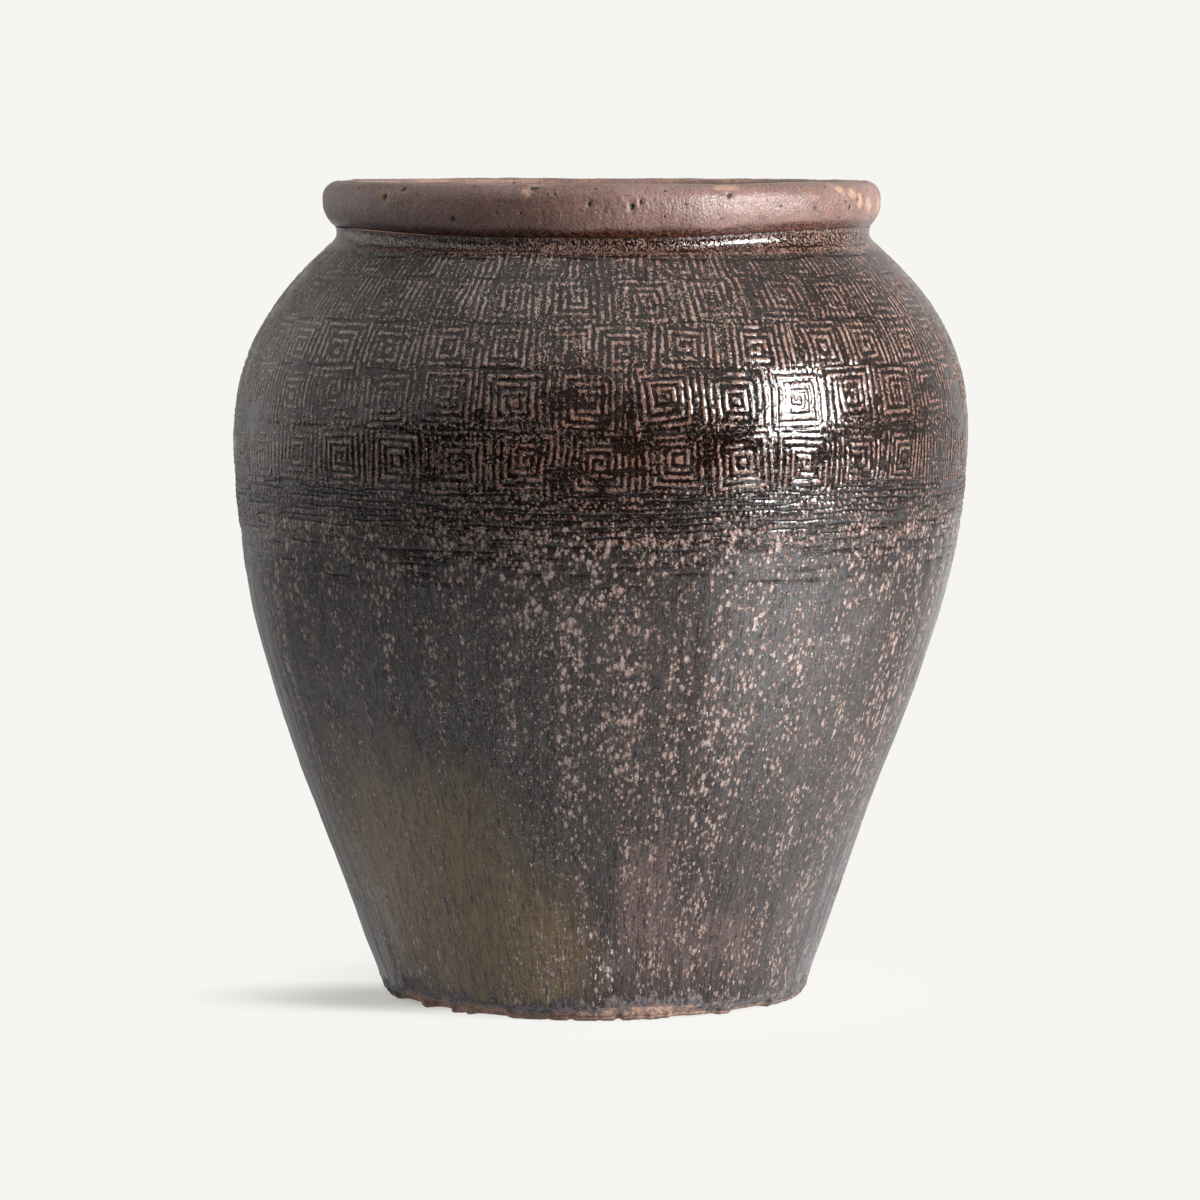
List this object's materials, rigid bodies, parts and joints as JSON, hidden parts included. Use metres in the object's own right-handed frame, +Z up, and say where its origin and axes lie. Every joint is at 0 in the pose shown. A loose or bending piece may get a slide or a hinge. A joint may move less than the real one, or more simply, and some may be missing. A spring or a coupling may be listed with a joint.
{
  "type": "ceramic storage jar",
  "caption": "Wide-shouldered stoneware storage jar with an open mouth, thick rolled rim, short coved neck, stamped shoulder and narrow flat foot.",
  "frame": {"origin": "on the ground under the centre of the jar's box, where the belly's axis meets the plane of the foot", "axes": "+Z up out of the mouth; the picture looks along +Y with +X to its right"},
  "size_m": [0.4342, 0.434, 0.48],
  "materials": {
    "foot_clay": "bare fired stoneware clay, orange brown, gritty and matte",
    "inner_glaze": "thin dark brown glaze over throwing marks",
    "satin_glaze": "dark grey-brown satin glaze with runs and broken tan spots",
    "spotted_glaze": "dark brown satin glaze broken into pinkish tan spots",
    "pooled_glaze": "thick glossy brown-black glaze pooled round the lowest row of stamps",
    "glossy_glaze": "glossy brown-black glaze, deep in the stamped grooves and thin on the ridges",
    "neck_glaze": "glossy dark red-brown glaze",
    "bare_rim": "reddish brown slip, dull satin with orange-peel texture, worn to tan on its edges"
  },
  "bodies": {
    "root": {"base_slab": "foot_clay", "corner_coil": "inner_glaze", "lower_wall": "satin_glaze", "middle_wall": "spotted_glaze", "belly_wall": "pooled_glaze", "shoulder_wall": "glossy_glaze", "neck_coil": "neck_glaze", "rim_coil": "bare_rim"}
  },
  "joints": []
}
